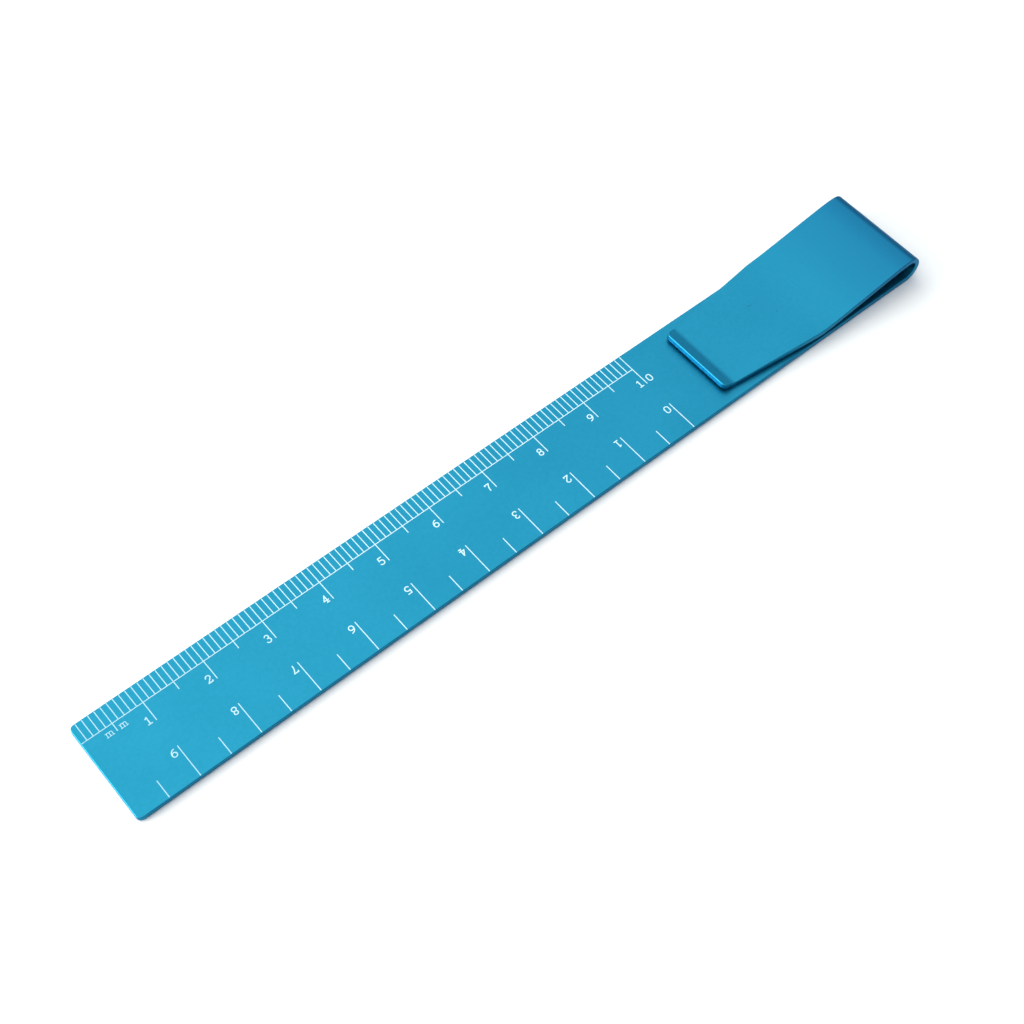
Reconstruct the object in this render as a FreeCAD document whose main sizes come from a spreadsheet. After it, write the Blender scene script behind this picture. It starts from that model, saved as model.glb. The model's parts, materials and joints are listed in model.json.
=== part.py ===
import FreeCAD, Part
import math
import os

import Sketcher
from FreeCAD import Vector

# A pocket ruler that is also a bookmark: one strip of anodised aluminium, folded back over
# itself at one end into a sprung clip, with a white scale along each long edge.
# X runs along the ruler from its free end to the fold, Y from the plain front edge to the
# edge with the millimetre scale, and Z up. The origin is under the middle of the ruler.

doc = FreeCAD.newDocument("clip_ruler")

# ---------------------------------------------------------------- driving dimensions, in mm
SIZES = (
    ("ruler_length", 148.7, "free end to the outside of the fold"),
    ("strip_width", 17.5, "width of the strip"),
    ("strip_thick", 0.9, "thickness of the strip"),
    ("corner_radius", 0.8, "corners of the free end, seen from above"),
    ("rim_radius", 0.15, "rounding of every cut edge of the strip"),
    ("fold_radius", 1.55, "inside radius of the fold"),
    ("quarter_turn", 90, "each half of the fold, in degrees"),
    ("shoulder_radius", 20.0, "inside radius where the fold runs out into the clip"),
    ("shoulder_turn", 9.0, "slope of the clip below its shoulder, in degrees"),
    ("knee_radius", 60.0, "inside radius of the slight bend half way down the clip"),
    ("knee_turn", 7.4, "how much flatter the clip is past that bend, in degrees"),
    ("lip_radius", 2.2, "inside radius of the bend that turns the lip up"),
    ("lip_turn", 16.4, "turn of that bend, in degrees"),
    ("lip_length", 1.6, "flat of the lip"),
    ("clip_end", 107.8, "free end of the ruler to the clip's tip"),
    ("clip_gap", 0.03, "clip to ruler, where the closed clip comes nearest"),
    ("taper_start", 127.2, "free end of the ruler to where the clip narrows"),
    ("tip_width", 13.4, "width of the clip at its tip"),
    ("taper_radius", 8.0, "rounding in plan where the clip starts to narrow"),
    ("tip_radius", 1.0, "corners of the tip, seen from above"),
    ("mark_thick", 0.02, "height of the white marks"),
    ("mark_width", 0.13, "width of a scale line"),
    ("mark_pitch", 1.0, "one division of the upper scale"),
    ("half_pitch", 5.0, "one division of the lower scale"),
    ("scale_length", 100.0, "length of each scale"),
    ("line_inset", 3.25, "back edge to the line that closes the upper scale"),
    ("upper_half_mark", 1.45, "half-centimetre mark, past that line"),
    ("upper_whole_mark", 3.45, "centimetre mark, past that line"),
    ("lower_half_mark", 3.25, "front edge to the end of a half-centimetre mark"),
    ("lower_whole_mark", 5.8, "front edge to the end of a centimetre mark"),
    ("numeral_height", 1.2, "height of a numeral"),
    ("numeral_aspect", 0.62, "a numeral's width as a share of its height"),
    ("numeral_stroke", 0.17, "width of a numeral's strokes"),
    ("numeral_shift", 1.0, "numeral's centre to its centimetre mark"),
    ("upper_numeral_inset", 6.05, "back edge to the middle of the upper numerals"),
    ("lower_numeral_inset", 5.12, "front edge to the middle of the lower numerals"),
    ("unit_inset", 4.43, "back edge to the middle of the unit letters"),
    ("unit_height", 0.68, "height of a unit letter"),
    ("unit_shift", 1.11, "unit letter's centre to the half-centimetre mark"),
    ("unit_stroke", 0.11, "width of a unit letter's strokes"),
)

sheet = doc.addObject("Spreadsheet::Sheet", "dims")
for row, (alias, value, meaning) in enumerate(SIZES, start=1):
    sheet.set(f"A{row}", meaning)
    sheet.set(f"B{row}", str(value))
    sheet.setAlias(f"B{row}", alias)
doc.recompute()


def size(alias):
    """The value of one driving dimension."""
    return float(getattr(sheet, alias))


# The fold's axis is one outside radius in from the ruler's end.
FOLD_X = "(dims.ruler_length / 2 - dims.fold_radius - dims.strip_thick)"
FOLD_TOP = "(2 * (dims.fold_radius + dims.strip_thick))"
half_length = size("ruler_length") / 2
half_width = size("strip_width") / 2
thick = size("strip_thick")
fold_x = half_length - size("fold_radius") - thick
fold_top = 2 * (size("fold_radius") + thick)
SAME_PLACE = 1e-4  # two points nearer than this are one


# ---------------------------------------------------------------- helpers
def new_body(label):
    """A PartDesign body whose label is also the name of its file."""
    body = doc.addObject("PartDesign::Body", label)
    body.Label = label
    return body


def new_sketch(body, name, plane):
    """A sketch on one of the body's own origin planes."""
    sketch = body.newObject("Sketcher::SketchObject", name)
    features = body.Origin.OriginFeatures
    sketch.AttachmentSupport = [(next(f for f in features if f.Role == plane), "")]
    sketch.MapMode = "FlatFace"
    return sketch


def constrain(sketch, formula, *arguments):
    """Adds a dimension to a sketch and binds it to a formula of the sheet's cells."""
    index = sketch.addConstraint(Sketcher.Constraint(*arguments))
    sketch.setExpression(f"Constraints[{index}]", formula)


def pad_across(body, sketch, name):
    """Pads a side view of the strip to the strip's full width."""
    pad = body.newObject("PartDesign::Pad", name)
    pad.Profile = sketch
    pad.SideType = "Symmetric"
    pad.setExpression("Length", "dims.strip_width")
    doc.recompute()
    return pad


def is_rim(edge, shape):
    """True for a sharp cut edge that runs along the strip or across its free end."""
    if all(abs(v.Point.x - fold_x) < SAME_PLACE for v in edge.Vertexes):
        return False
    faces = shape.ancestorsOfType(edge, Part.Face)
    if len(faces) != 2:
        return False
    middle = edge.valueAt((edge.FirstParameter + edge.LastParameter) / 2)
    normals = []
    for face in faces:
        u, v = face.Surface.parameter(middle)
        normals.append(face.normalAt(u, v))
    turn = math.degrees(normals[0].getAngle(normals[1]))
    upright = all(abs(normal.z) < 0.3 for normal in normals)
    return 45 < turn < 135 and not upright


def round_edges(body, base, name, radius_formula, wanted):
    """Rounds those edges of a feature for which wanted(edge) is true."""
    chosen = [f"Edge{i}" for i, edge in enumerate(base.Shape.Edges, start=1) if wanted(edge)]
    fillet = body.newObject("PartDesign::Fillet", name)
    fillet.Base = (base, chosen)
    fillet.setExpression("Radius", radius_formula)
    doc.recompute()
    return fillet


def round_rims(body, base, name):
    """Rounds the strip's cut edges, except where the strip carries on into the fold."""
    return round_edges(body, base, name, "dims.rim_radius", lambda edge: is_rim(edge, base.Shape))


def strip_side_view(body, name, start, heading, run):
    """Draws the strip's thickness in side view along a run of flats and bends.

    start is the point on the strip's left side where the run begins, and heading its
    direction there in degrees. Each bend is ("bend", inside radius, turn, side), with
    side +1 to the left and -1 to the right, and each flat is ("flat", about how long).
    Returns the sketch and the indexes of the left side's lines.
    """
    sketch = new_sketch(body, name, "XZ_Plane")
    point = Vector(start[0], start[1], 0)
    angle = math.radians(heading)
    left, right = [], []
    for kind, *values in run:
        ahead = Vector(math.cos(angle), math.sin(angle), 0)
        to_right = Vector(ahead.y, -ahead.x, 0)
        if kind == "flat":
            end = point + ahead * values[0]
            for side, shift in ((left, 0), (right, thick)):
                line = Part.LineSegment(point + to_right * shift, end + to_right * shift)
                side.append((sketch.addGeometry(line), 1, 2))
            point = end
            continue
        inside, turn, hand = size(values[0]), math.radians(size(values[1])), values[2]
        left_radius = inside if hand > 0 else inside + thick
        right_radius = inside + thick if hand > 0 else inside
        centre = point - to_right * (hand * left_radius)
        begin = angle - hand * math.pi / 2
        low, high = sorted((begin, begin + hand * turn))
        ends = (1, 2) if hand > 0 else (2, 1)
        for side, radius in ((left, left_radius), (right, right_radius)):
            circle = Part.Circle(centre, Vector(0, 0, 1), radius)
            side.append((sketch.addGeometry(Part.ArcOfCircle(circle, low, high)), *ends))
        angle += hand * turn
        leaving = Vector(math.sin(angle), -math.cos(angle), 0)
        point = centre + leaving * (hand * left_radius)

    for side in (left, right):
        for (one, _, one_end), (two, two_start, _) in zip(side, side[1:]):
            sketch.addConstraint(Sketcher.Constraint("Tangent", one, one_end, two, two_start))
    for (kind, *values), (on_left, *_), (on_right, *_) in zip(run, left, right):
        if kind == "bend":
            inner, outer = (on_left, on_right) if values[2] > 0 else (on_right, on_left)
            sketch.addConstraint(Sketcher.Constraint("Coincident", inner, 3, outer, 3))
            constrain(sketch, f"dims.{values[0]}", "Radius", inner, size(values[0]))
            outside = size(values[0]) + thick
            constrain(sketch, f"dims.{values[0]} + dims.strip_thick", "Radius", outer, outside)
            turn = math.radians(size(values[1]))
            constrain(sketch, f"dims.{values[1]} * 1 deg", "Angle", on_left, turn)

    caps = []
    for (one, one_end), (two, two_end) in (
        ((left[0][0], left[0][1]), (right[0][0], right[0][1])),
        ((left[-1][0], left[-1][2]), (right[-1][0], right[-1][2])),
    ):
        ends = [sketch.getPoint(one, one_end), sketch.getPoint(two, two_end)]
        cap = sketch.addGeometry(Part.LineSegment(*ends))
        sketch.addConstraint(Sketcher.Constraint("Coincident", cap, 1, one, one_end))
        sketch.addConstraint(Sketcher.Constraint("Coincident", cap, 2, two, two_end))
        caps.append(cap)
    sketch.addConstraint(Sketcher.Constraint("PointOnObject", left[0][0], 3, caps[0]))
    upright = "Horizontal" if heading == 90 else "Vertical"
    sketch.addConstraint(Sketcher.Constraint(upright, caps[0]))
    if run[-1][0] == "bend":
        sketch.addConstraint(Sketcher.Constraint("PointOnObject", left[-1][0], 3, caps[1]))
    else:
        for line in (left[-1][0], right[-1][0]):
            sketch.addConstraint(Sketcher.Constraint("Perpendicular", caps[1], line))
    return sketch, [geometry for geometry, *_ in left]


def place_start(sketch, line, end, x_formula, z_formula):
    """Ties the start of a side view to the sketch's origin."""
    at = sketch.getPoint(line, end)
    constrain(sketch, x_formula, "DistanceX", -1, 1, line, end, at.x)
    constrain(sketch, z_formula, "DistanceY", -1, 1, line, end, at.y)


# ---------------------------------------------------------------- the strip: ruler blade
def make_blade():
    """The straight part of the strip, with two rounded corners at its free end."""
    body = new_body("ruler_blade")
    sketch = new_sketch(body, "blade_outline", "XY_Plane")
    radius = size("corner_radius")
    left, right = -half_length, fold_x
    lines = []
    for start, end in (
        ((right, -half_width), (right, half_width)),
        ((right, half_width), (left + radius, half_width)),
        ((left, half_width - radius), (left, radius - half_width)),
        ((left + radius, -half_width), (right, -half_width)),
    ):
        lines.append(sketch.addGeometry(Part.LineSegment(Vector(*start, 0), Vector(*end, 0))))
    fold_side, back, free_end, front = lines
    corners = []
    for hand, low in ((1, math.pi / 2), (-1, math.pi)):
        centre = Vector(left + radius, hand * (half_width - radius), 0)
        circle = Part.Circle(centre, Vector(0, 0, 1), radius)
        corners.append(sketch.addGeometry(Part.ArcOfCircle(circle, low, low + math.pi / 2)))
    back_corner, front_corner = corners
    for one, one_end, two, two_end in (
        (back, 2, back_corner, 1),
        (back_corner, 2, free_end, 1),
        (free_end, 2, front_corner, 1),
        (front_corner, 2, front, 1),
    ):
        sketch.addConstraint(Sketcher.Constraint("Tangent", one, one_end, two, two_end))
    sketch.addConstraint(Sketcher.Constraint("Coincident", front, 2, fold_side, 1))
    sketch.addConstraint(Sketcher.Constraint("Coincident", fold_side, 2, back, 1))
    sketch.addConstraint(Sketcher.Constraint("Vertical", free_end))
    sketch.addConstraint(Sketcher.Constraint("Equal", back_corner, front_corner))
    sketch.addConstraint(Sketcher.Constraint("Symmetric", fold_side, 1, fold_side, 2, -1))
    sketch.addConstraint(Sketcher.Constraint("Horizontal", back))
    sketch.addConstraint(Sketcher.Constraint("Horizontal", front))
    constrain(sketch, "dims.strip_width", "DistanceY", fold_side, 1, fold_side, 2, 2 * half_width)
    constrain(sketch, FOLD_X, "DistanceX", -1, 1, fold_side, 1, fold_x)
    constrain(sketch, "dims.ruler_length / 2", "DistanceX", free_end, 1, -1, 1, half_length)
    constrain(sketch, "dims.corner_radius", "Radius", back_corner, radius)
    pad = body.newObject("PartDesign::Pad", "blade_pad")
    pad.Profile = sketch
    pad.setExpression("Length", "dims.strip_thick")
    doc.recompute()
    round_rims(body, pad, "blade_rims")
    return body


# ---------------------------------------------------------------- the strip: the fold
def make_fold_half(label, start, heading, formulas):
    """One quarter turn of the fold. The two halves meet at the outermost line of the fold."""
    body = new_body(label)
    run = [("bend", "fold_radius", "quarter_turn", 1)]
    sketch, left = strip_side_view(body, f"{label}_side", start, heading, run)
    place_start(sketch, left[0], 1, *formulas)
    pad = pad_across(body, sketch, f"{label}_pad")
    round_edges(
        body,
        pad,
        f"{label}_rims",
        "dims.rim_radius",
        lambda edge: edge.Curve.TypeId == "Part::GeomCircle",
    )
    return body


# ---------------------------------------------------------------- the strip: the clip
def make_tongue():
    """The sprung part of the clip: it slopes down to the ruler, narrows, and ends in a lip."""
    body = new_body("clip_tongue")
    run = [
        ("bend", "shoulder_radius", "shoulder_turn", 1),
        ("flat", 11.0),
        ("bend", "knee_radius", "knee_turn", -1),
        ("flat", 14.0),
        ("bend", "lip_radius", "lip_turn", -1),
        ("flat", size("lip_length")),
    ]
    start = (fold_x, fold_top - thick)
    sketch, left = strip_side_view(body, "tongue_side", start, 180, run)
    place_start(sketch, left[0], 1, FOLD_X, f"{FOLD_TOP} - dims.strip_thick")
    lip_bend, lip = left[4], left[5]
    constrain(sketch, "dims.lip_length", "Distance", lip, size("lip_length"))
    nearest = "dims.strip_thick + dims.clip_gap + dims.lip_radius + dims.strip_thick"
    height = 2 * thick + size("clip_gap") + size("lip_radius")
    constrain(sketch, nearest, "DistanceY", -1, 1, lip_bend, 3, height)
    reach = size("clip_end") - half_length
    constrain(sketch, "dims.clip_end - dims.ruler_length / 2", "DistanceX", -1, 1, lip, 2, reach)
    pad = pad_across(body, sketch, "tongue_pad")

    plan = new_sketch(body, "tongue_taper", "XY_Plane")
    slope = (half_width - size("tip_width") / 2) / (size("taper_start") - size("clip_end"))
    start_x = size("taper_start") - half_length
    tip_x = reach
    beyond = tip_x - thick
    for hand in (1, -1):
        corner = Vector(start_x, hand * half_width, 0)
        narrow = Vector(beyond, hand * (half_width - slope * (start_x - beyond)), 0)
        radius = size("taper_radius")
        half_turn = math.atan(slope) / 2
        trim = radius * math.tan(half_turn)
        on_edge = corner + Vector(trim, 0, 0)
        on_taper = corner + (narrow - corner).normalize() * trim
        centre = on_edge - Vector(0, hand * radius, 0)
        low = math.pi / 2 if hand > 0 else -math.pi / 2 - 2 * half_turn
        circle = Part.Circle(centre, Vector(0, 0, 1), radius)
        outer = Vector(beyond, hand * (half_width + thick), 0)
        above = Vector(on_edge.x, outer.y, 0)
        arc = plan.addGeometry(Part.ArcOfCircle(circle, low, low + 2 * half_turn))
        edge_end, taper_end = (1, 2) if hand > 0 else (2, 1)
        lines = [
            plan.addGeometry(Part.LineSegment(a, b))
            for a, b in ((on_taper, narrow), (narrow, outer), (outer, above), (above, on_edge))
        ]
        plan.addConstraint(Sketcher.Constraint("Tangent", arc, taper_end, lines[0], 1))
        for one, two in zip(lines, lines[1:]):
            plan.addConstraint(Sketcher.Constraint("Coincident", one, 2, two, 1))
        plan.addConstraint(Sketcher.Constraint("Coincident", lines[3], 2, arc, edge_end))
        plan.addConstraint(Sketcher.Constraint("Vertical", lines[1]))
        plan.addConstraint(Sketcher.Constraint("Horizontal", lines[2]))
        plan.addConstraint(Sketcher.Constraint("Vertical", lines[3]))
        plan.addConstraint(Sketcher.Constraint("Vertical", arc, 3, arc, edge_end))
        constrain(plan, "dims.taper_radius", "Radius", arc, radius)
        turn = (
            "atan((dims.strip_width - dims.tip_width) / 2"
            " / (dims.taper_start - dims.clip_end))"
        )
        constrain(plan, turn, "Angle", arc, 2 * half_turn)
        origin, edge = ((-1, 1), (arc, edge_end)) if hand > 0 else ((arc, edge_end), (-1, 1))
        constrain(plan, "dims.strip_width / 2", "DistanceY", *origin, *edge, half_width)
        shift = f"dims.taper_start - dims.ruler_length / 2 + dims.taper_radius * tan({turn} / 2)"
        constrain(plan, shift, "DistanceX", -1, 1, arc, edge_end, on_edge.x)
        low_end, high_end = (2, 1) if hand > 0 else (1, 2)
        constrain(
            plan, "dims.strip_thick", "DistanceY", lines[3], low_end, lines[3], high_end, thick
        )
        reach_formula = "dims.clip_end - dims.ruler_length / 2 - dims.strip_thick"
        constrain(plan, reach_formula, "DistanceX", -1, 1, lines[1], 1, beyond)
    pocket = body.newObject("PartDesign::Pocket", "tongue_taper_cut")
    pocket.Profile = plan
    pocket.Type = "ThroughAll"
    pocket.SideType = "Symmetric"
    doc.recompute()
    if not pocket.Shape.Volume < pad.Shape.Volume - 1:
        raise RuntimeError("the taper cuts nothing from the clip")

    def is_tip_corner(edge):
        at_tip = all(v.Point.x < tip_x + thick for v in edge.Vertexes)
        straight = edge.Curve.TypeId == "Part::GeomLine"
        through = straight and abs(edge.tangentAt(edge.FirstParameter).y) < 0.5
        return at_tip and through and edge.Length < 1.5 * thick

    tips = round_edges(body, pocket, "tongue_corners", "dims.tip_radius", is_tip_corner)
    round_rims(body, tips, "tongue_rims")
    return body


# ---------------------------------------------------------------- the white marks
LINE_Y = "(dims.strip_width / 2 - dims.line_inset)"
UNDER_LINE = f"{LINE_Y} - dims.mark_width / 2"
BACK_EDGE = "dims.strip_width / 2 - dims.rim_radius"
FRONT_EDGE = "dims.rim_radius - dims.strip_width / 2"
LINE_X = "dims.mark_pitch * {step} - dims.ruler_length / 2"


def scale_line(name, x_formula, wide_formula, low_formula, high_formula):
    """One white line on the ruler's face, from one y to another."""
    line = doc.addObject("Part::Box", name)
    line.setExpression("Length", wide_formula)
    line.setExpression("Width", f"({high_formula}) - ({low_formula})")
    line.setExpression("Height", "dims.mark_thick")
    line.setExpression(".Placement.Base.x", f"({x_formula}) - ({wide_formula}) / 2")
    line.setExpression(".Placement.Base.y", low_formula)
    line.setExpression(".Placement.Base.z", "dims.strip_thick")
    return line


def row_of_marks(label, steps, low_formula, high_formula):
    """Equal scale lines, one at each given number of divisions from the free end."""
    row = doc.addObject("Part::Compound", label)
    row.Label = label
    row.Links = [
        scale_line(
            f"{label}_{step}", LINE_X.format(step=step), "dims.mark_width", low_formula, high_formula
        )
        for step in steps
    ]
    return row


# Strokes in a cell one unit high: two points are a straight stroke, three an arc.
STROKES = {
    "0": (
        ((0, 0.31), (0, 0.69)),
        ((0, 0.69), (0.31, 1), (0.62, 0.69)),
        ((0.62, 0.69), (0.62, 0.31)),
        ((0.62, 0.31), (0.31, 0), (0, 0.31)),
    ),
    "1": (((0.12, 0.84), (0.33, 1)), ((0.33, 1), (0.33, 0)), ((0.08, 0), (0.58, 0))),
    "2": (
        ((0.02, 0.74), (0.31, 1), (0.58, 0.64)),
        ((0.58, 0.64), (0.02, 0)),
        ((0.02, 0), (0.6, 0)),
        ((0.6, 0), (0.6, 0.14)),
    ),
    "3": (((0.05, 0.88), (0.52, 0.8), (0.26, 0.53)), ((0.26, 0.53), (0.58, 0.18), (0.02, 0.13))),
    "4": (
        ((0.42, 1), (0, 0.3)),
        ((0, 0.3), (0.62, 0.3)),
        ((0.42, 1), (0.42, 0)),
        ((0.26, 0), (0.58, 0)),
    ),
    "5": (
        ((0.56, 1), (0.1, 1)),
        ((0.1, 1), (0.07, 0.54)),
        ((0.07, 0.54), (0.6, 0.33), (0.02, 0.12)),
    ),
    "6": (
        ((0.54, 0.97), (0.16, 0.78), (0.01, 0.31)),
        ((0.01, 0.31), (0.31, 0.6), (0.61, 0.31)),
        ((0.61, 0.31), (0.31, 0), (0.01, 0.31)),
    ),
    "7": (((0.02, 0.86), (0.02, 1)), ((0.02, 1), (0.6, 1)), ((0.6, 1), (0.34, 0.52), (0.26, 0))),
    "8": (
        ((0.06, 0.76), (0.31, 1), (0.56, 0.76)),
        ((0.56, 0.76), (0.31, 0.53), (0.06, 0.76)),
        ((0.02, 0.27), (0.31, 0.53), (0.6, 0.27)),
        ((0.6, 0.27), (0.31, 0), (0.02, 0.27)),
    ),
    "9": (
        ((0.08, 0.03), (0.46, 0.22), (0.61, 0.69)),
        ((0.61, 0.69), (0.31, 1), (0.01, 0.69)),
        ((0.01, 0.69), (0.31, 0.4), (0.61, 0.69)),
    ),
    "m": (
        ((-0.53, 0), (-0.11, 0)),
        ((-0.32, 0), (-0.32, 0.96)),
        ((-0.53, 0.96), (-0.32, 0.96)),
        ((-0.32, 0.66), (0.04, 1), (0.31, 0.66)),
        ((0.31, 0.66), (0.31, 0)),
        ((0.16, 0), (0.52, 0)),
        ((0.31, 0.66), (0.67, 1), (0.94, 0.66)),
        ((0.94, 0.66), (0.94, 0)),
        ((0.79, 0), (1.15, 0)),
    ),
}


def stroke_face(points, width):
    """A stroke of even width with round ends, along a straight line or an arc."""
    path = (Part.LineSegment(*points) if len(points) == 2 else Part.Arc(*points)).toShape()
    sides = {1: [], -1: []}
    for point in points:
        ahead = path.tangentAt(path.Curve.parameter(point))
        for hand, side in sides.items():
            side.append(point + Vector(-ahead.y, ahead.x, 0) * (hand * width / 2))
    before = points[0] - path.tangentAt(path.FirstParameter) * (width / 2)
    beyond = points[-1] + path.tangentAt(path.LastParameter) * (width / 2)
    left, right = sides[1], sides[-1]
    outline = [
        Part.LineSegment(*left) if len(points) == 2 else Part.Arc(*left),
        Part.Arc(left[-1], beyond, right[-1]),
        Part.LineSegment(*right) if len(points) == 2 else Part.Arc(*right),
        Part.Arc(right[0], before, left[0]),
    ]
    return Part.Face(Part.Wire(Part.sortEdges([curve.toShape() for curve in outline])[0]))


def character(symbol, height, width):
    """One numeral or letter as a thin solid, centred on the origin."""
    strokes = [
        [Vector(x * height, y * height, 0) for x, y in stroke] for stroke in STROKES[symbol]
    ]
    faces = [stroke_face(stroke, width) for stroke in strokes]
    solid = faces[0].fuse(faces[1:]).removeSplitter().extrude(Vector(0, 0, size("mark_thick")))
    solid.translate(Vector(-size("numeral_aspect") * height / 2, -height / 2, 0))
    return solid


def lettering(label, symbols, spacing, place, height, width, upside_down=False):
    """Characters in a row about a place on the ruler's face, as one piece."""
    first = -spacing * (len(symbols) - 1) / 2
    solids = []
    for index, symbol in enumerate(symbols):
        solid = character(symbol, height, width)
        solid.translate(Vector(first + index * spacing, 0, 0))
        solids.extend(solid.Solids)
    piece = doc.addObject("Part::Feature", label)
    piece.Label = label
    piece.Shape = Part.makeCompound(solids)
    turn = FreeCAD.Rotation(Vector(0, 0, 1), 180 if upside_down else 0)
    piece.Placement = FreeCAD.Placement(Vector(*place, thick), turn)
    return piece


def make_marks():
    """Both scales: lines, numerals and the letters of the unit."""
    divisions = round(size("scale_length") / size("mark_pitch"))
    half = round(size("half_pitch") / size("mark_pitch"))
    whole = 2 * half
    halves = range(half, divisions, whole)
    wholes = range(whole, divisions + 1, whole)
    line_length = "(dims.scale_length + dims.mark_width / 2 - dims.rim_radius)"
    line_middle = f"dims.rim_radius + {line_length} / 2 - dims.ruler_length / 2"
    line_edges = (UNDER_LINE, f"{LINE_Y} + dims.mark_width / 2")
    front_marks = "dims.strip_width / 2"
    closing_line = scale_line("upper_closing_line", line_middle, line_length, *line_edges)
    marks = [
        closing_line,
        row_of_marks("upper_millimetre_marks", range(1, divisions + 1), line_edges[1], BACK_EDGE),
        row_of_marks(
            "upper_half_centimetre_marks", halves, f"{LINE_Y} - dims.upper_half_mark", UNDER_LINE
        ),
        row_of_marks(
            "upper_centimetre_marks", wholes, f"{LINE_Y} - dims.upper_whole_mark", UNDER_LINE
        ),
        row_of_marks(
            "lower_half_centimetre_marks", halves, FRONT_EDGE, f"dims.lower_half_mark - {front_marks}"
        ),
        row_of_marks(
            "lower_centimetre_marks", wholes, FRONT_EDGE, f"dims.lower_whole_mark - {front_marks}"
        ),
    ]
    height, stroke, shift = size("numeral_height"), size("numeral_stroke"), size("numeral_shift")
    upper_y = half_width - size("upper_numeral_inset")
    lower_y = size("lower_numeral_inset") - half_width
    for number, step in enumerate(wholes, start=1):
        mark_x = step * size("mark_pitch") - half_length
        symbols = str(number)
        x = mark_x - (shift if len(symbols) == 1 else 0)
        marks.append(
            lettering(f"upper_numeral_{number}", symbols, 2 * shift, (x, upper_y), height, stroke)
        )
        count_back = len(wholes) - number
        marks.append(
            lettering(
                f"lower_numeral_{count_back}",
                str(count_back),
                0,
                (mark_x - shift, lower_y),
                height,
                stroke,
                upside_down=True,
            )
        )
    unit_x = size("half_pitch") - half_length
    unit_y = half_width - size("unit_inset")
    letters = (2 * size("unit_shift"), (unit_x, unit_y), size("unit_height"), size("unit_stroke"))
    marks.append(lettering("unit_letters", "mm", *letters))
    return marks


# ---------------------------------------------------------------- the whole ruler
blade = make_blade()
fold_lower = make_fold_half("fold_lower", (fold_x, thick), 0, (FOLD_X, "dims.strip_thick"))
nose_x = fold_x + size("fold_radius")
fold_upper = make_fold_half(
    "fold_upper",
    (nose_x, fold_top / 2),
    90,
    (f"{FOLD_X} + dims.fold_radius", "dims.fold_radius + dims.strip_thick"),
)
tongue = make_tongue()
pieces = [blade, fold_lower, fold_upper, tongue, *make_marks()]
doc.recompute()

for item in doc.Objects:
    if "Invalid" in item.State or "Error" in item.State:
        raise RuntimeError(f"{item.Label} did not recompute: {item.State}")
for piece in pieces:
    if piece.Shape.isNull() or not piece.Shape.isValid():
        raise RuntimeError(f"{piece.Label} has no valid shape")

os.makedirs("parts", exist_ok=True)
for piece in pieces:
    piece.Shape.exportStep(f"parts/{piece.Label}.step")
    box = piece.Shape.BoundBox
    print(
        f"{piece.Label}: {len(piece.Shape.Solids)} solids, {piece.Shape.Volume:.3f} mm3,"
        f" x {box.XMin:.2f}..{box.XMax:.2f}, y {box.YMin:.2f}..{box.YMax:.2f},"
        f" z {box.ZMin:.2f}..{box.ZMax:.2f}"
    )
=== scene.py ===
import json
import math

import bpy
from mathutils import Matrix, Vector


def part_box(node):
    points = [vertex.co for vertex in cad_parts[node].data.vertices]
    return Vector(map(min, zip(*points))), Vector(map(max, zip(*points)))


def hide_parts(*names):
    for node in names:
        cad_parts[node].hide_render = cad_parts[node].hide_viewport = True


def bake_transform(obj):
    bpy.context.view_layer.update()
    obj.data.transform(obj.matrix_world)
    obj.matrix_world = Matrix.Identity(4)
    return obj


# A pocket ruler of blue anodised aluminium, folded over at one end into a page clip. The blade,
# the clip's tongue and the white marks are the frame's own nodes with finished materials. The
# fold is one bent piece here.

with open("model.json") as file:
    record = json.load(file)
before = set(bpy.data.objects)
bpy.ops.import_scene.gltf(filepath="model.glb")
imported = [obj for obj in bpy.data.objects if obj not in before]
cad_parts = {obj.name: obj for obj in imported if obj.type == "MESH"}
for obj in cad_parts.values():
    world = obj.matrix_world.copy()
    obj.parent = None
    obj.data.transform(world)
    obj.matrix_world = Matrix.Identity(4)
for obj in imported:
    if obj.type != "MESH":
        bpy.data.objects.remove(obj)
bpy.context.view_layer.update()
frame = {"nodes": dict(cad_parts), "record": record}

# ---------------------------------------------------------------- sizes, in metres
MM = 0.001
blade_low, blade_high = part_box("ruler_blade")
fold_low, fold_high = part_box("fold_lower")
_, clip_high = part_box("fold_upper")
THICK = blade_high.z - blade_low.z
HALF_WIDTH = (blade_high.y - blade_low.y) / 2
FOLD_X = fold_low.x
FOLD_Z = fold_high.z
OUTSIDE_RADIUS = clip_high.z - FOLD_Z
RIM_RADIUS = 0.15 * MM

FOLD_STEPS = 72
RIM_STEPS = 7


# ---------------------------------------------------------------- the fold
def strip_section():
    """The strip's cross-section, as (across, depth from the outside, normal) round its rim.

    The normal is (across, outwards), and each corner is a quarter circle.
    """
    points = []
    corners = (
        (HALF_WIDTH - RIM_RADIUS, RIM_RADIUS, 0),
        (RIM_RADIUS - HALF_WIDTH, RIM_RADIUS, 90),
        (RIM_RADIUS - HALF_WIDTH, THICK - RIM_RADIUS, 180),
        (HALF_WIDTH - RIM_RADIUS, THICK - RIM_RADIUS, 270),
    )
    for across, depth, first in corners:
        for step in range(RIM_STEPS + 1):
            turn = math.radians(first + 90 * step / RIM_STEPS)
            normal = (math.cos(turn), math.sin(turn))
            points.append((across + RIM_RADIUS * normal[0], depth - RIM_RADIUS * normal[1], normal))
    return points


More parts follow.
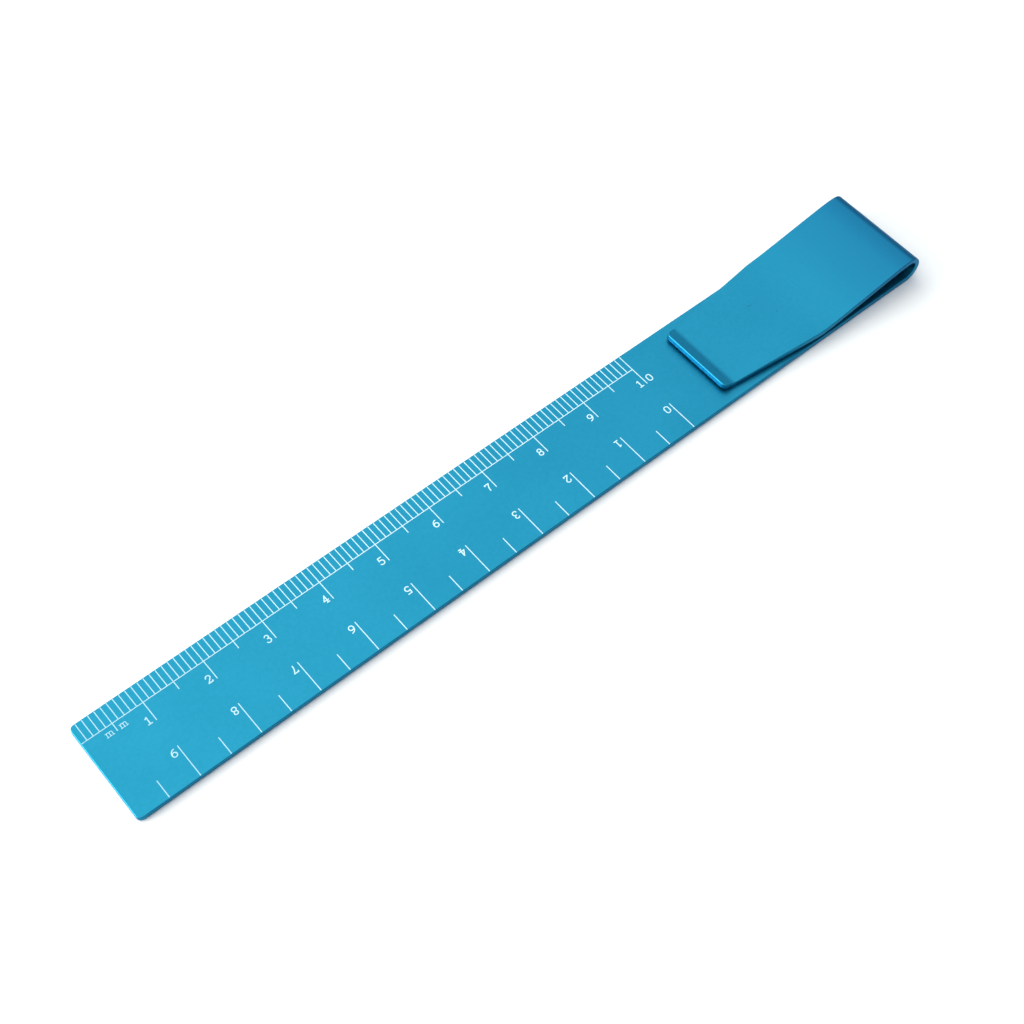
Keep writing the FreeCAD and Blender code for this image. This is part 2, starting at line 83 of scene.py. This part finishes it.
def make_fold():
    """The half turn of the strip from the blade to the clip, as one closed mesh."""
    section = strip_section()
    vertices, normals = [], []
    for step in range(FOLD_STEPS + 1):
        turn = math.radians(-90 + 180 * step / FOLD_STEPS)
        outward = Vector((math.cos(turn), 0, math.sin(turn)))
        for across, depth, (side, out) in section:
            place = Vector((FOLD_X, across, FOLD_Z)) + outward * (OUTSIDE_RADIUS - depth)
            vertices.append(place)
            normals.append((outward * out + Vector((0, side, 0))).normalized())
    count = len(section)
    faces = []
    for ring in range(FOLD_STEPS):
        for point in range(count):
            beside = (point + 1) % count
            here, there = ring * count, (ring + 1) * count
            faces.append((here + point, there + point, there + beside, here + beside))
    faces.append(tuple(range(count)))
    faces.append(tuple(range(FOLD_STEPS * count, (FOLD_STEPS + 1) * count))[::-1])
    mesh = bpy.data.meshes.new("strip_fold")
    mesh.from_pydata(vertices, [], faces)
    mesh.shade_smooth()
    mesh.normals_split_custom_set_from_vertices(normals)
    fold = bpy.data.objects.new("strip_fold", mesh)
    bpy.context.scene.collection.objects.link(fold)
    return fold


# ---------------------------------------------------------------- materials
# noise lies mostly in this range
NOISE_RANGE = (0.3, 0.7)

DYE_DEEP = (0.005, 0.221, 0.362)
DYE_LIGHT = (0.009, 0.251, 0.408)
DYE_AT_EDGE = (0.1, 0.42, 0.7)
# painted shade: the colour is bluer and darker where the clip climbs to the fold, above this height
PAINTED_SHADE_NEAR_FOLD = (0.003, 0.172, 0.322)
PAINTED_SHADE_FROM = 2.1 * MM
# slow clouds and a fine mottle vary the shade, and the mottle and the grain vary the surface
DYE_MIX = (0.55, 0.95)
CLOUD_SIZE = 14 * MM
CLOUD_WEIGHT = 0.5
MOTTLE_SIZE = 0.55 * MM
GRAIN_SIZE = 0.09 * MM
GRAIN_HEIGHT = 0.006 * MM
GRAIN_STRENGTH = 0.5
MOTTLE_RELIEF = 0.6
METAL_ROUGHNESS = (0.40, 0.48)
CLEAR_FILM = 0.25
CLEAR_FILM_ROUGHNESS = 0.3

# marks of use on the clip: centre, turn in degrees, length and width. Each fades from its core to
# its edge, which are given as parts of half its size
FLECKS = (
    (Vector((47.6, 2.5, 2.0)) * MM, -10, 1.2 * MM, 0.22 * MM),
    (Vector((50.1, -1.1, 2.1)) * MM, 30, 0.35 * MM, 0.25 * MM),
    (Vector((59.5, 3.0, 3.1)) * MM, 0, 0.3 * MM, 0.2 * MM),
)
FLECK_DEPTH = 0.45
FLECK_CORE, FLECK_EDGE = 0.4, 1.1

INK_THIN = (0.50, 0.76, 0.86)
INK_FULL = (0.66, 0.86, 0.92)
INK_MIX = (0.35, 0.65)
INK_CLUMP = 0.25 * MM
INK_HEIGHT = 0.004 * MM
INK_STRENGTH = 0.4
INK_ROUGHNESS = (0.5, 0.65)
# the print is fainter towards the free end
INK_WORN = (0.10, 0.42, 0.58)
WORN_LENGTH = 45 * MM
WORN_BY = 0.45

PAPER_DULL = (0.93, 0.93, 0.925)
PAPER_CLEAN = (0.95, 0.95, 0.945)
PAPER_CLOUD = 40 * MM
PAPER_ROUGHNESS = 0.9
PAPER_SHEEN = 0.1


def new_material(name):
    """A material with its node tree, its Principled shader and its object coordinates."""
    material = bpy.data.materials.new(name)
    material.use_nodes = True
    tree = material.node_tree
    shader = tree.nodes["Principled BSDF"]
    coordinates = tree.nodes.new("ShaderNodeTexCoord").outputs["Object"]
    return material, tree, shader, coordinates


def noise(tree, coordinates, grain, detail=2.0, roughness=0.5):
    """Noise whose features are about grain metres across."""
    node = tree.nodes.new("ShaderNodeTexNoise")
    node.inputs["Scale"].default_value = 1 / grain
    node.inputs["Detail"].default_value = detail
    node.inputs["Roughness"].default_value = roughness
    tree.links.new(coordinates, node.inputs["Vector"])
    return node.outputs["Fac"]


def remap(tree, value, low, high, new_low, new_high):
    """Maps a value from one range to another, clamped."""
    node = tree.nodes.new("ShaderNodeMapRange")
    node.inputs["From Min"].default_value = low
    node.inputs["From Max"].default_value = high
    node.inputs["To Min"].default_value = new_low
    node.inputs["To Max"].default_value = new_high
    tree.links.new(value, node.inputs["Value"])
    return node.outputs["Result"]


def arithmetic(tree, operation, first, second):
    """One arithmetic step on two values, each a socket or a number."""
    node = tree.nodes.new("ShaderNodeMath")
    node.operation = operation
    for socket, value in zip(node.inputs, (first, second)):
        if isinstance(value, (int, float)):
            socket.default_value = value
        else:
            tree.links.new(value, socket)
    return node.outputs["Value"]


def mixed_colour(tree, share, first, second):
    """A colour between two others, each a socket or three numbers."""
    node = tree.nodes.new("ShaderNodeMix")
    node.data_type = "RGBA"
    tree.links.new(share, node.inputs["Factor"])
    for name, value in (("A", first), ("B", second)):
        socket = next(s for s in node.inputs if s.name == name and s.type == "RGBA")
        if isinstance(value, tuple):
            socket.default_value = (*value, 1)
        else:
            tree.links.new(value, socket)
    return next(s for s in node.outputs if s.type == "RGBA")


def bumped(tree, height, distance, strength):
    """A normal from a height socket."""
    node = tree.nodes.new("ShaderNodeBump")
    node.inputs["Strength"].default_value = strength
    node.inputs["Distance"].default_value = distance
    tree.links.new(height, node.inputs["Height"])
    return node.outputs["Normal"]


def darkened(tree, colour, share, depth):
    """A colour made darker by depth where the share is one."""
    node = tree.nodes.new("ShaderNodeVectorMath")
    node.operation = "SCALE"
    tree.links.new(colour, node.inputs["Vector"])
    tree.links.new(remap(tree, share, 0, 1, 1, 1 - depth), node.inputs["Scale"])
    return node.outputs["Vector"]


def fleck(tree, place, centre, turn, length, width):
    """One short mark on the surface, as a share that is one inside it and zero outside."""
    node = tree.nodes.new("ShaderNodeMapping")
    node.vector_type = "TEXTURE"
    node.inputs["Location"].default_value = centre
    node.inputs["Rotation"].default_value = (0, 0, math.radians(turn))
    node.inputs["Scale"].default_value = (length / 2, width / 2, THICK / 2)
    tree.links.new(place, node.inputs["Vector"])
    distance = tree.nodes.new("ShaderNodeVectorMath")
    distance.operation = "LENGTH"
    tree.links.new(node.outputs["Vector"], distance.inputs[0])
    return remap(tree, distance.outputs["Value"], FLECK_CORE, FLECK_EDGE, 1, 0)


def anodised_material():
    """Dyed blue anodising over a fine blasted grain."""
    material, tree, shader, place = new_material("anodised_blue")
    cloud = noise(tree, place, CLOUD_SIZE, detail=1.0)
    mottle = noise(tree, place, MOTTLE_SIZE, detail=3.0, roughness=0.6)
    grain = noise(tree, place, GRAIN_SIZE)
    uneven = arithmetic(tree, "ADD", arithmetic(tree, "MULTIPLY", cloud, CLOUD_WEIGHT), mottle)
    share = remap(tree, uneven, *DYE_MIX, 0, 1)
    colour = mixed_colour(tree, share, DYE_DEEP, DYE_LIGHT)
    upwards = tree.nodes.new("ShaderNodeSeparateXYZ")
    tree.links.new(place, upwards.inputs["Vector"])
    # painted shade, bluer and darker up the clip towards the fold
    painted_shade_share = remap(tree, upwards.outputs["Z"], PAINTED_SHADE_FROM, clip_high.z, 0, 1)
    colour = mixed_colour(tree, painted_shade_share, colour, PAINTED_SHADE_NEAR_FOLD)
    for centre, turn, length, width in FLECKS:
        colour = darkened(tree, colour, fleck(tree, place, centre, turn, length, width), FLECK_DEPTH)
    tree.links.new(colour, shader.inputs["Base Color"])
    shader.inputs["Metallic"].default_value = 1.0
    shader.inputs["Specular Tint"].default_value = (*DYE_AT_EDGE, 1)
    roughness = remap(tree, mottle, *NOISE_RANGE, *METAL_ROUGHNESS)
    tree.links.new(roughness, shader.inputs["Roughness"])
    shader.inputs["Coat Weight"].default_value = CLEAR_FILM
    shader.inputs["Coat Roughness"].default_value = CLEAR_FILM_ROUGHNESS
    height = arithmetic(tree, "ADD", grain, arithmetic(tree, "MULTIPLY", mottle, MOTTLE_RELIEF))
    tree.links.new(bumped(tree, height, GRAIN_HEIGHT, GRAIN_STRENGTH), shader.inputs["Normal"])
    return material


def marks_material():
    """White printed ink with a slightly uneven cover."""
    material, tree, shader, place = new_material("white_print")
    cover = noise(tree, place, INK_CLUMP, detail=3.0, roughness=0.6)
    colour = mixed_colour(tree, remap(tree, cover, *INK_MIX, 0, 1), INK_THIN, INK_FULL)
    along = tree.nodes.new("ShaderNodeSeparateXYZ")
    tree.links.new(place, along.inputs["Vector"])
    worn = remap(tree, along.outputs["X"], blade_low.x, blade_low.x + WORN_LENGTH, WORN_BY, 0)
    tree.links.new(mixed_colour(tree, worn, colour, INK_WORN), shader.inputs["Base Color"])
    roughness = remap(tree, cover, *NOISE_RANGE, *INK_ROUGHNESS)
    tree.links.new(roughness, shader.inputs["Roughness"])
    tree.links.new(bumped(tree, cover, INK_HEIGHT, INK_STRENGTH), shader.inputs["Normal"])
    return material


def floor_material():
    """Matt white paper with a very faint unevenness."""
    material, tree, shader, place = new_material("white_floor")
    cloud = noise(tree, place, PAPER_CLOUD)
    colour = mixed_colour(tree, remap(tree, cloud, *NOISE_RANGE, 0, 1), PAPER_DULL, PAPER_CLEAN)
    tree.links.new(colour, shader.inputs["Base Color"])
    shader.inputs["Roughness"].default_value = PAPER_ROUGHNESS
    shader.inputs["Specular IOR Level"].default_value = PAPER_SHEEN
    return material


def finish_with(piece, material):
    """Gives a piece its one material."""
    if piece.material_slots:
        piece.material_slots[0].material = material
    else:
        piece.data.materials.append(material)


# ---------------------------------------------------------------- the object
anodised = anodised_material()
white = marks_material()

for entry in frame["record"]["subparts"]:
    is_strip = entry["material_slot"] == "anodised_strip"
    finish_with(frame["nodes"][entry["node"]], anodised if is_strip else white)

fold = make_fold()
finish_with(fold, anodised)
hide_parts("fold_lower", "fold_upper")
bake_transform(fold)


# ---------------------------------------------------------------- floor, light and camera
# the real strip is slightly bowed, so its long edges stand a little off the paper
FLOOR_DROP = 0.12 * MM
FLOOR_HALF = 12.0

# angles are in degrees, and the lens and its sensor in millimetres
AIM = Vector((-5.44, -2.83, 0.9)) * MM
CAMERA_DISTANCE = 260.4 * MM
CAMERA_AZIMUTH = -39.65
CAMERA_ELEVATION = 57.3
CAMERA_ROLL = -0.08
CAMERA_LENS = 62.31
CAMERA_SENSOR = 36.0
CAMERA_NEAR, CAMERA_FAR = 0.01, 20

# the middle of the bright part of the sky, and its strength there and at a right angle to it
SKY_AZIMUTH = -150
SKY_ELEVATION = 52
SKY_BRIGHT = 2.1
SKY_DIM = 0.1
SKY_WARM = (1.0, 1.0, 0.92)
SKY_COOL = (0.86, 0.95, 1.1)
COOL_BELOW, WARM_ABOVE = 0.4, 0.95

SOFTBOX_AZIMUTH = -117
SOFTBOX_ELEVATION = 12
SOFTBOX_DISTANCE = 0.8
SOFTBOX_SIZE = (0.5, 0.25)
SOFTBOX_POWER = 7.0


def direction(azimuth, elevation):
    """The way from the object to a viewer at that azimuth and elevation, in degrees."""
    turn, rise = math.radians(azimuth), math.radians(elevation)
    level = math.cos(rise)
    return Vector((math.sin(turn) * level, -math.cos(turn) * level, math.sin(rise)))


def make_floor():
    """A wide square of white paper under the ruler."""
    mesh = bpy.data.meshes.new("floor")
    signs = ((-1, -1), (1, -1), (1, 1), (-1, 1))
    corners = [(x * FLOOR_HALF, y * FLOOR_HALF, -FLOOR_DROP) for x, y in signs]
    mesh.from_pydata(corners, [], [(0, 1, 2, 3)])
    floor = bpy.data.objects.new("floor", mesh)
    bpy.context.scene.collection.objects.link(floor)
    finish_with(floor, floor_material())


def make_softbox():
    """A low oblong light on the left, which lights the clip's turned-up tip."""
    lamp = bpy.data.lights.new("left_softbox", "AREA")
    lamp.shape = "RECTANGLE"
    lamp.size, lamp.size_y = SOFTBOX_SIZE
    lamp.energy = SOFTBOX_POWER
    light = bpy.data.objects.new("left_softbox", lamp)
    back = direction(SOFTBOX_AZIMUTH, SOFTBOX_ELEVATION)
    light.location = back * SOFTBOX_DISTANCE
    light.rotation_mode = "QUATERNION"
    light.rotation_quaternion = (-back).to_track_quat("-Z", "Y")
    bpy.context.scene.collection.objects.link(light)


def make_world():
    """Soft light from all round that is brightest, and warmest, high behind the object."""
    world = bpy.data.worlds.new("studio")
    world.use_nodes = True
    tree = world.node_tree
    background = tree.nodes["Background"]
    facing = tree.nodes.new("ShaderNodeVectorMath")
    facing.operation = "DOT_PRODUCT"
    tree.links.new(tree.nodes.new("ShaderNodeTexCoord").outputs["Generated"], facing.inputs[0])
    facing.inputs[1].default_value = direction(SKY_AZIMUTH, SKY_ELEVATION)
    warmth = remap(tree, facing.outputs["Value"], COOL_BELOW, WARM_ABOVE, 0, 1)
    tree.links.new(mixed_colour(tree, warmth, SKY_COOL, SKY_WARM), background.inputs["Color"])
    brightness = remap(tree, facing.outputs["Value"], 0, 1, SKY_DIM, SKY_BRIGHT)
    tree.links.new(brightness, background.inputs["Strength"])
    bpy.context.scene.world = world


def make_camera():
    """The camera, aimed at a point near the middle of the blade."""
    lens = bpy.data.cameras.new("camera")
    lens.lens = CAMERA_LENS
    lens.sensor_width = CAMERA_SENSOR
    lens.clip_start, lens.clip_end = CAMERA_NEAR, CAMERA_FAR
    camera = bpy.data.objects.new("camera", lens)
    back = direction(CAMERA_AZIMUTH, CAMERA_ELEVATION)
    camera.location = AIM + back * CAMERA_DISTANCE
    upright = (-back).to_track_quat("-Z", "Y").to_matrix()
    roll = Matrix.Rotation(math.radians(-CAMERA_ROLL), 3, "Z")
    camera.rotation_mode = "QUATERNION"
    camera.rotation_quaternion = (upright @ roll).to_quaternion()
    bpy.context.scene.collection.objects.link(camera)
    bpy.context.scene.camera = camera


make_floor()
make_softbox()
make_world()
make_camera()
bpy.context.scene.view_settings.view_transform = "Standard"
